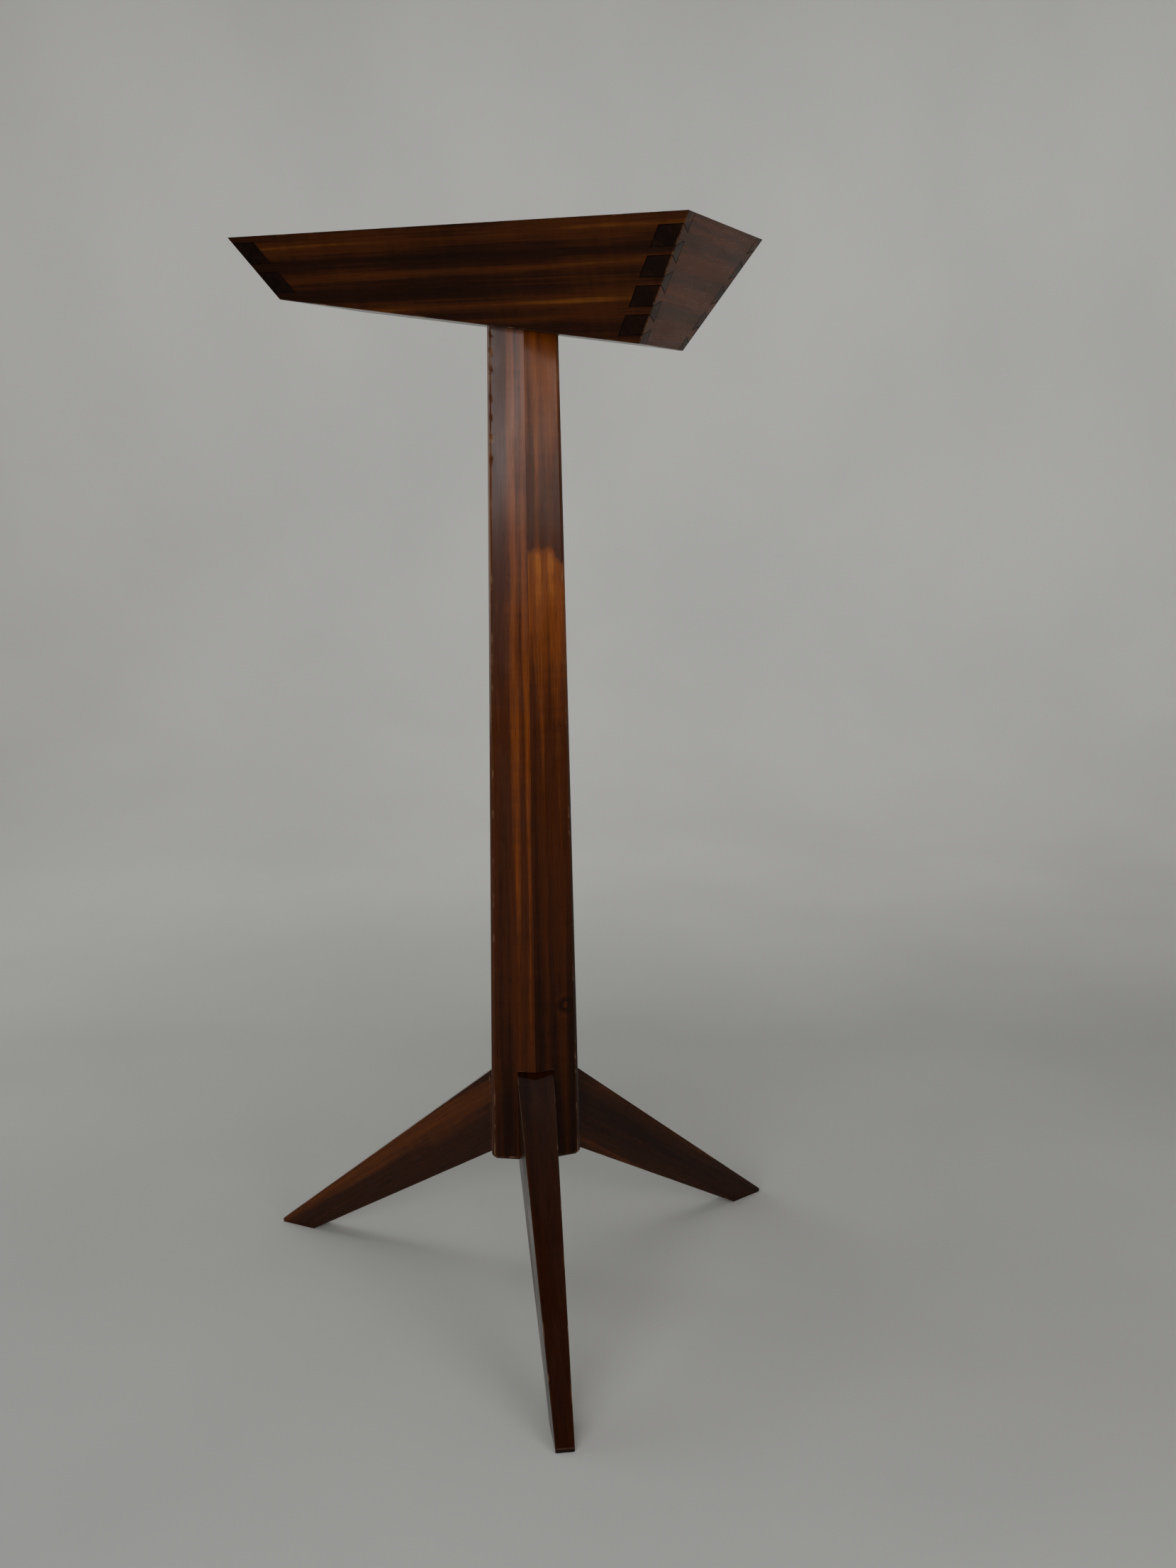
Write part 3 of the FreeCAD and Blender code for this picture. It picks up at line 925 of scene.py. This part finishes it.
@dataclass
class Column:
    """The tapered column, glued up from three staves whose seams face the legs.

    Attributes:
        seam_gap: width of the groove at each side of the glue lines, in metres.
        chip_depth: deepest chip in the worn corner, in metres.
        chip_band: heights between which the corner is worn, in metres.
        finish: the wood's finish.
    """

    seam_gap: float = 0.00010
    chip_depth: float = 0.0022
    chip_band: tuple[float, float] = (0.800, 0.925)
    finish: MahoganyFinish = MahoganyFinish(depth=1.25, ribbon_gain=0.80)

    CHIPPED = "column_stave_front"
    CHIP_STEP = 0.0016
    CHIP_REACH = 0.0012
    CHIP_RIM = 0.0007
    CHIP_RARITY = 0.10
    CHIPS_PER_METRE, CHIP_SEED = 150.0, (3.7, 1.1)
    SPLINTERS_PER_METRE, SPLINTER_SEED, SPLINTER_SHARE = 520.0, (8.1, 4.2), 0.5
    CORNER_TURN = 22.5
    CORNER_FALL = 0.0190
    STAVES = {"column_stave_front": -120.0, "column_stave_deep": 0.0, "column_stave_back": 120.0}
    TAPER = 0.365
    FRONT_BANDS: Stops = (
        (-0.036, 0.40), (-0.010, 0.45), (0.000, 0.44), (0.003, 0.45), (0.007, 0.32), (0.0135, 0.28),
        (0.0180, 0.48), (0.0215, 0.66), (0.0250, 0.46), (0.0268, 0.42), (0.0295, 0.64), (0.0330, 0.52),
        (0.0360, 0.42),
    )
    # Tone up the front stave: painted shade that darkens towards the foot.
    FRONT_CLOUDS_AND_SHADE: Stops = (
        (0.0, 0.20), (0.105, 0.26), (0.215, 0.32), (0.32, 0.41), (0.45, 0.50), (0.70, 0.52), (0.80, 0.52),
    )
    DEEP_BANDS: Stops = (
        (-0.036, 0.44), (-0.030, 0.36), (-0.024, 0.50), (-0.017, 0.40), (-0.010, 0.52), (-0.004, 0.40),
        (0.004, 0.44), (0.016, 0.50), (0.036, 0.42),
    )
    # Tone up the deep stave: its figure, with painted shade that darkens towards the foot.
    DEEP_CLOUDS_AND_SHADE: Stops = (
        (0.000, 0.06), (0.143, 0.09), (0.215, 0.16), (0.319, 0.26), (0.420, 0.43), (0.470, 0.57),
        (0.500, 0.66), (0.555, 0.82), (0.572, 0.82), (0.582, 0.40), (0.610, 0.36), (0.650, 0.44),
        (0.700, 0.60), (0.740, 0.70), (0.800, 0.70),
    )
    BACK_BANDS: Stops = (
        (-0.036, 0.42), (-0.024, 0.30), (-0.012, 0.55), (0.0, 0.36), (0.012, 0.56), (0.024, 0.32),
        (0.036, 0.42),
    )
    # Tone up the back stave, with painted shade that darkens towards the foot like the other staves.
    BACK_CLOUDS_AND_SHADE: Stops = ((0.0, 0.40), (0.4, 0.46), (0.8, 0.60))
    DEEP_KNOT = (-0.0085, 0.159, 0.0046)
    FIGURES = {
        "column_stave_front": Figure(FRONT_BANDS, FRONT_CLOUDS_AND_SHADE, 0.0018, 0.32, 1.3, TAPER),
        "column_stave_deep": Figure(DEEP_BANDS, DEEP_CLOUDS_AND_SHADE, 0.0026, 0.30, 6.7, TAPER, 0.45, DEEP_KNOT),
        "column_stave_back": Figure(BACK_BANDS, BACK_CLOUDS_AND_SHADE, 0.0026, 0.45, 17.5, TAPER),
    }

    def build(self, neighbours: Neighbours) -> list[bpy.types.Object]:
        """Build and dress the three staves.

        Args:
            neighbours: the solids of all boards.

        Returns:
            The staves.
        """
        pieces = []
        for node, azimuth in self.STAVES.items():
            board = Board(node, self.seam_gap)
            piece = board.make(neighbours)
            if node == self.CHIPPED:
                self._chip(piece, azimuth)
            grain = Grain(column_foot(), UP, direction(azimuth + 90.0))
            board.dress(piece, self.finish, grain, self.FIGURES[node])
            pieces.append(piece)
        return pieces

    def _bite(self, height: float) -> float:
        """Depth of the chip at a height as a share of the deepest, or less than 0 where there is none."""
        chip = noise.noise(Vector((height * self.CHIPS_PER_METRE, *self.CHIP_SEED)))
        splinter = noise.noise(Vector((height * self.SPLINTERS_PER_METRE, *self.SPLINTER_SEED)))
        return chip + self.SPLINTER_SHARE * splinter - self.CHIP_RARITY

    def _chip(self, piece: bpy.types.Object, azimuth: float) -> None:
        """Break small chips out of the corner beside the flat, on the side of rising azimuth.

        Args:
            piece: the stave.
            azimuth: direction of the stave's outer corner, in degrees.
        """
        axis, outward = column_foot(), direction(azimuth + self.CORNER_TURN)
        lean = outward + UP * self.CORNER_FALL
        shape = bmesh.new()
        shape.from_mesh(piece.data)
        reach = max((vert.co - axis).dot(lean) for vert in shape.verts)

        def depth(vert: bmesh.types.BMVert) -> float:
            """How far a point lies below the corner."""
            return reach - (vert.co - axis).dot(lean)

        def corner_faces() -> list[bmesh.types.BMFace]:
            """Faces of the strip beside the corner."""
            limit = self.CHIP_REACH + 10.0 * NOTHING
            return [face for face in shape.faces if all(depth(vert) < limit for vert in face.verts)]

        bmesh.ops.bisect_plane(
            shape, geom=shape.verts[:] + shape.edges[:] + shape.faces[:], dist=NOTHING,
            plane_co=axis + outward * (reach - self.CHIP_REACH), plane_no=lean,
        )
        low, high = self.chip_band
        for step in range(math.ceil((high - low) / self.CHIP_STEP)):
            faces = corner_faces()
            edges = list(dict.fromkeys(edge for face in faces for edge in face.edges))
            verts = list(dict.fromkeys(vert for face in faces for vert in face.verts))
            bmesh.ops.bisect_plane(
                shape, geom=verts + edges + faces, dist=NOTHING,
                plane_co=UP * (low + step * self.CHIP_STEP), plane_no=UP,
            )
        # Chipped faces get the pale arris colour, which also paints glints of light along the corner.
        worn_and_glinting = shape.faces.layers.float.get("arris")
        strip = corner_faces()
        for vert in dict.fromkeys(vert for face in strip for vert in face.verts):
            if not low < vert.co.z < high or depth(vert) > self.CHIP_RIM:
                continue
            bite = self._bite(vert.co.z)
            if bite > 0.0:
                vert.co -= outward * self.chip_depth * bite
                for face in vert.link_faces:
                    if face in strip:
                        face[worn_and_glinting] = 1.0
        shape.to_mesh(piece.data)
        shape.free()


@dataclass
class Legs:
    """The three splayed legs, let into the foot of the column over its seams.

    Attributes:
        slope: fall of the grain along each leg, in degrees.
        middle_reach: distance of a leg's middle from the column's centre line, in metres.
        middle_height: height of a leg's middle, in metres.
        seam_gap: width of the groove at each side of the joints, in metres.
        finish: the wood's finish.
    """

    slope: float = 36.5
    middle_reach: float = 0.16
    middle_height: float = 0.10
    seam_gap: float = 0.00010
    finish: MahoganyFinish = MahoganyFinish(depth=0.64, level=0.23)

    LEGS = {"leg_front": -60.0, "leg_back": 60.0, "leg_shallow": 180.0}
    BANDS = {
        "leg_front": (
            (-0.30, 0.2), (-0.10, 0.20), (-0.06, 0.30), (-0.02, 0.22), (0.02, 0.30), (0.06, 0.22),
            (0.12, 0.24),
        ),
        "leg_back": (
            (-0.12, 0.40), (-0.055, 0.42), (-0.035, 0.52), (-0.015, 0.24), (0.004, 0.22), (0.018, 0.44),
            (0.05, 0.40), (0.12, 0.35),
        ),
        "leg_shallow": (
            (-0.12, 0.30), (-0.06, 0.26), (-0.035, 0.34), (-0.010, 0.36), (0.012, 0.60), (0.028, 0.44),
            (0.05, 0.34), (0.12, 0.35),
        ),
    }
    CLOUDS: Stops = ((-0.2, 0.42), (-0.1, 0.5), (0.0, 0.52), (0.1, 0.50), (0.2, 0.46))
    WAVER, STREAK = 0.002, 0.30
    FIRST_SEED, SEED_STEP = 21.0, 4.1

    def build(self, neighbours: Neighbours) -> list[bpy.types.Object]:
        """Build and dress the three legs.

        Args:
            neighbours: the solids of all boards.

        Returns:
            The legs.
        """
        axis = ALONG_X * column_foot().x
        pieces = []
        for number, (node, azimuth) in enumerate(self.LEGS.items()):
            board = Board(node, self.seam_gap)
            piece = board.make(neighbours)
            middle = axis + direction(azimuth) * self.middle_reach + UP * self.middle_height
            grain = Grain(middle, direction(azimuth, -self.slope), direction(azimuth, 90.0 - self.slope))
            seed = self.FIRST_SEED + self.SEED_STEP * number
            figure = Figure(self.BANDS[node], self.CLOUDS, self.WAVER, self.STREAK, seed)
            board.dress(piece, self.finish, grain, figure)
            pieces.append(piece)
        return pieces


@dataclass(frozen=True)
class Screw:
    """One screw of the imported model.

    Attributes:
        top: centre of the head's top.
        axis: direction out of the head.
        head: radius of the head.
        shank: radius of the shank.
        length: whole length.
    """

    top: Vector
    axis: Vector
    head: float
    shank: float
    length: float


@dataclass
class FloorScrews:
    """Countersunk slotted screws that hold the tray down on the column.

    Attributes:
        node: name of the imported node.
        slot_width: width of the drive slot, in metres.
        slot_depth: depth of the drive slot, in metres.
        head_depth: depth of the countersunk head, in metres.
        rounds: number of points round the screw.
        finish: the screws' finish.
    """

    node: str = "tray_floor_screws"
    slot_width: float = 0.0010
    slot_depth: float = 0.0011
    head_depth: float = 0.0026
    rounds: int = 48
    finish: BrassFinish = BrassFinish()

    THREAD_PITCH = 0.0018
    THREAD_DEPTH = 0.0005
    RIM_INSET, RIM_DEPTH = 0.0001, 0.00015
    NECK_SHARE = 0.82
    POINT_LENGTH, POINT_RADIUS = 0.006, 0.0003
    END_LAYER = 1e-5
    SHARP_ANGLE = math.radians(30.0)

    def build(self) -> bpy.types.Object:
        """Build and dress the three screws as one piece.

        Returns:
            The new object, in the row frame.
        """
        shape = bmesh.new()
        for screw in self._screws():
            self._turn(shape, screw)
        piece = new_piece("floor_screws", shape)
        piece.data.shade_smooth()
        piece.data.set_sharp_from_angle(angle=self.SHARP_ANGLE)
        piece.data.materials.append(self.finish.material(BRASS_SLOT + "_screws"))
        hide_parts(self.node)
        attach(piece, ROOT_BODY)
        log.info("%s: %d faces", piece.name, len(piece.data.polygons))
        return piece

    def _screws(self) -> list[Screw]:
        """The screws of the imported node, measured one by one."""
        mount = next(item for item in frame["record"]["mounts"] if item["name"] == "tray_rest")
        axis = Vector(mount["axis"]).normalized()
        shape = bmesh.new()
        shape.from_mesh(frame["nodes"][self.node].data)
        bmesh.ops.remove_doubles(shape, verts=shape.verts, dist=NOTHING)
        left, found = dict.fromkeys(shape.verts), []
        while left:
            points, queue = [], [next(iter(left))]
            del left[queue[0]]
            while queue:
                vert = queue.pop()
                points.append(vert.co.copy())
                for other in (edge.other_vert(vert) for edge in vert.link_edges):
                    if other in left:
                        del left[other]
                        queue.append(other)
            found.append(self._measure(points, axis))
        shape.free()
        return found

    def _measure(self, points: list[Vector], axis: Vector) -> Screw:
        """Measure one screw.

        Args:
            points: the screw's points.
            axis: direction out of the head.

        Returns:
            The screw's place and sizes.
        """
        heights = [point.dot(axis) for point in points]
        top, bottom = max(heights), min(heights)
        rim = [point for point in points if top - point.dot(axis) < self.END_LAYER]
        tip = [point for point in points if point.dot(axis) - bottom < self.END_LAYER]
        (centre, head), (_, shank) = (self._circle(layer) for layer in (rim, tip))
        return Screw(centre, axis, head, shank, top - bottom)

    def _circle(self, points: list[Vector]) -> tuple[Vector, float]:
        """Centre and radius of points round a circle."""
        centre = sum(points, Vector()) / len(points)
        return centre, max((point - centre).length for point in points)

    def _turn(self, shape: bmesh.types.BMesh, screw: Screw) -> None:
        """Turn one screw with a slotted head, a threaded shank and a point.

        Args:
            shape: mesh that the screw is added to.
            screw: its place and sizes.
        """
        place = Matrix.Translation(screw.top) @ screw.axis.to_track_quat("Z", "Y").to_matrix().to_4x4()
        outline = [
            (0.0, screw.head - self.RIM_INSET), (self.RIM_DEPTH, screw.head),
            (self.head_depth, screw.shank * self.NECK_SHARE),
        ]
        depth, ridge = self.head_depth, False
        while depth < screw.length - self.POINT_LENGTH:
            depth += self.THREAD_PITCH / 2
            ridge = not ridge
            outline.append((depth, screw.shank if ridge else screw.shank - self.THREAD_DEPTH))
        outline.append((screw.length, self.POINT_RADIUS))
        rings = [ring(shape, radius, -depth, self.rounds, place) for depth, radius in outline]
        for upper, lower in zip(rings, rings[1:]):
            for step in range(self.rounds):
                after = (step + 1) % self.rounds
                shape.faces.new((upper[step], lower[step], lower[after], upper[after]))
        shape.faces.new(list(reversed(rings[-1])))
        self._slot(shape, place, rings[0])

    def _slot(self, shape: bmesh.types.BMesh, place: Matrix, rim: list[bmesh.types.BMVert]) -> None:
        """Close the head's top with a straight slot cut across it.

        Args:
            shape: mesh of the screws.
            place: the screw's place.
            rim: points round the head's top.
        """
        half, back = self.slot_width / 2, place.inverted()
        spots = {vert: back @ vert.co for vert in rim}
        by_x = sorted(rim, key=lambda vert: spots[vert].x)
        upper = [vert for vert in by_x if spots[vert].y > half]
        lower = [vert for vert in by_x if spots[vert].y < -half]
        reach = spots[upper[-1]].x

        def ends(side: float, depth: float) -> list[bmesh.types.BMVert]:
            """New points at both ends of one line of the slot."""
            return [shape.verts.new(place @ Vector((end, side, -depth))) for end in (-reach, reach)]

        flat_upper, deep_upper = ends(half, 0.0), ends(half, self.slot_depth)
        flat_lower, deep_lower = ends(-half, 0.0), ends(-half, self.slot_depth)
        shape.faces.new([flat_upper[0], flat_upper[1], *reversed(upper)])
        shape.faces.new([flat_lower[1], flat_lower[0], *lower])
        shape.faces.new((flat_upper[1], flat_upper[0], deep_upper[0], deep_upper[1]))
        shape.faces.new((flat_lower[0], flat_lower[1], deep_lower[1], deep_lower[0]))
        shape.faces.new((deep_upper[0], deep_lower[0], deep_lower[1], deep_upper[1]))
        for side in (0, 1):
            near = [vert for vert in rim if abs(spots[vert].y) <= half]
            arc = [vert for vert in near if (spots[vert].x > 0) == (side == 1)]
            arc.sort(key=lambda vert: spots[vert].y)
            inner = (flat_upper[side], deep_upper[side], deep_lower[side], flat_lower[side])
            outline = [lower[-side], *arc, upper[-side], *inner]
            shape.faces.new(outline if side else list(reversed(outline)))


@dataclass(frozen=True)
class Softbox:
    """One soft rectangular light.

    Attributes:
        name: name of the light.
        place: its centre, in metres.
        aim: point it faces.
        width: its width in metres.
        height: its height in metres.
        power: its power in watts.
        tint: its colour.
    """

    name: str
    place: Triple
    aim: Triple
    width: float
    height: float
    power: float
    tint: Triple

    def build(self) -> None:
        """Hang the light in the studio, out of the camera's sight."""
        data = bpy.data.lights.new(self.name, "AREA")
        data.shape = "RECTANGLE"
        data.size, data.size_y = self.width, self.height
        data.energy = self.power
        data.color = self.tint
        light = bpy.data.objects.new(self.name, data)
        light.visible_camera = False
        stand_up(light, self.place, Vector(self.aim) - Vector(self.place))


def stand_up(thing: bpy.types.Object, place: Triple, view: Vector) -> None:
    """Put a light or camera into the scene.

    Args:
        thing: the light or camera.
        place: where it stands.
        view: direction it faces.
    """
    thing.location = place
    thing.rotation_mode = "QUATERNION"
    thing.rotation_quaternion = view.to_track_quat("-Z", "Y")
    bpy.context.scene.collection.objects.link(thing)


@dataclass
class Studio:
    """Plain pale cove, soft lights and the camera.

    Attributes:
        floor_rings: radii of two rings in the level floor, in metres.
        floor_reach: radius of the level floor, in metres.
        cove: radius of the curve between floor and wall, in metres.
        wall_height: height of the wall, in metres.
        eye: place of the camera.
        look: azimuth and rise of its view, in degrees.
        lens: focal length for the sensor's width, in millimetres.
        sensor: width of the sensor, in millimetres.
        shift: sideways and upward shift of the frame.
        clip: nearest and farthest distance shown, in metres.
        paper: finish of the cove.
    """

    floor_rings: tuple[float, float] = (0.6, 1.3)
    floor_reach: float = 1.9
    cove: float = 1.2
    wall_height: float = 3.2
    eye: Triple = (0.68822, -1.30179, 0.82092)
    look: tuple[float, float] = (112.306, -14.87)
    lens: float = 35.655
    sensor: float = 36.0
    shift: tuple[float, float] = (-0.02286, 0.05013)
    clip: tuple[float, float] = (0.05, 50.0)
    paper: PaperFinish = PaperFinish()

    TURNS = 128
    COVE_STEPS = 32
    SKY_COLOUR, SKY_STRENGTH = (0.50, 0.51, 0.53, 1.0), 0.10
    LIGHTS = (
        Softbox("overhead", (0.10, 0.60, 2.9), (0.10, 0.30, 0.0), 2.2, 2.2, 13.0, (1.0, 0.985, 0.96)),
        Softbox("backdrop", (-0.40, 1.15, 1.55), (-1.15, 3.0, 0.80), 2.4, 0.8, 19.0, (1.0, 0.99, 0.96)),
        Softbox("left_panel", (-2.0, 0.10, 0.92), (0.0, 0.0, 0.75), 0.7, 1.3, 10.0, (0.95, 1.0, 0.93)),
        Softbox("window", (0.22, -2.35, 0.95), (0.05, 0.0, 0.90), 1.6, 0.45, 23.5, (0.96, 0.98, 1.0)),
        Softbox("side_window", (2.15, -1.00, 0.95), (0.05, 0.0, 0.90), 1.2, 0.50, 11.5, (1.0, 0.97, 0.93)),
        Softbox("front_fill", (0.90, -1.90, 1.70), (0.10, -0.10, 0.20), 1.2, 0.8, 3.5, (1.0, 0.98, 0.95)),
    )

    def build(self) -> None:
        """Set up floor, lights, surroundings and camera."""
        self._cove()
        for light in self.LIGHTS:
            light.build()
        self._sky()
        self._camera()

    def _cove(self) -> None:
        """Round floor that sweeps up into a wall all round."""
        profile = [(radius, 0.0) for radius in (*self.floor_rings, self.floor_reach)]
        for step in range(1, self.COVE_STEPS + 1):
            turn = math.pi / 2 * step / self.COVE_STEPS
            radius = self.floor_reach + self.cove * math.sin(turn)
            profile.append((radius, self.cove * (1.0 - math.cos(turn))))
        profile.append((self.floor_reach + self.cove, self.wall_height))
        shape = bmesh.new()
        middle = shape.verts.new(ORIGIN)
        rings = [ring(shape, radius, height, self.TURNS) for radius, height in profile]
        for step in range(self.TURNS):
            after = (step + 1) % self.TURNS
            shape.faces.new((middle, rings[0][step], rings[0][after]))
            for inner, outer in zip(rings, rings[1:]):
                shape.faces.new((inner[step], outer[step], outer[after], inner[after]))
        cove = new_piece("studio_cove", shape)
        cove.data.shade_smooth()
        cove.data.materials.append(self.paper.material("studio_paper"))

    def _sky(self) -> None:
        """Faint grey light from all round."""
        world = bpy.data.worlds.new("surroundings")
        world.use_nodes = True
        back = world.node_tree.nodes["Background"]
        back.inputs["Color"].default_value = self.SKY_COLOUR
        back.inputs["Strength"].default_value = self.SKY_STRENGTH
        bpy.context.scene.world = world

    def _camera(self) -> None:
        """Camera at a standing viewer's distance, looking a little down."""
        data = bpy.data.cameras.new("view")
        data.lens, data.sensor_width = self.lens, self.sensor
        data.shift_x, data.shift_y = self.shift
        data.clip_start, data.clip_end = self.clip
        camera = bpy.data.objects.new("view", data)
        stand_up(camera, self.eye, direction(*self.look))
        bpy.context.scene.camera = camera


def main() -> None:
    """Build the stand piece by piece, then the studio round it."""
    logging.basicConfig(level=logging.INFO, format="%(name)s: %(message)s")
    neighbours = Neighbours(frame["nodes"])
    pieces = Column().build(neighbours)
    pieces += Legs().build(neighbours)
    pieces += Tray().build(neighbours)
    pieces.append(FloorScrews().build())
    log.info("%d pieces", len(pieces))
    Studio().build()


if __name__ == "__main__":
    main()
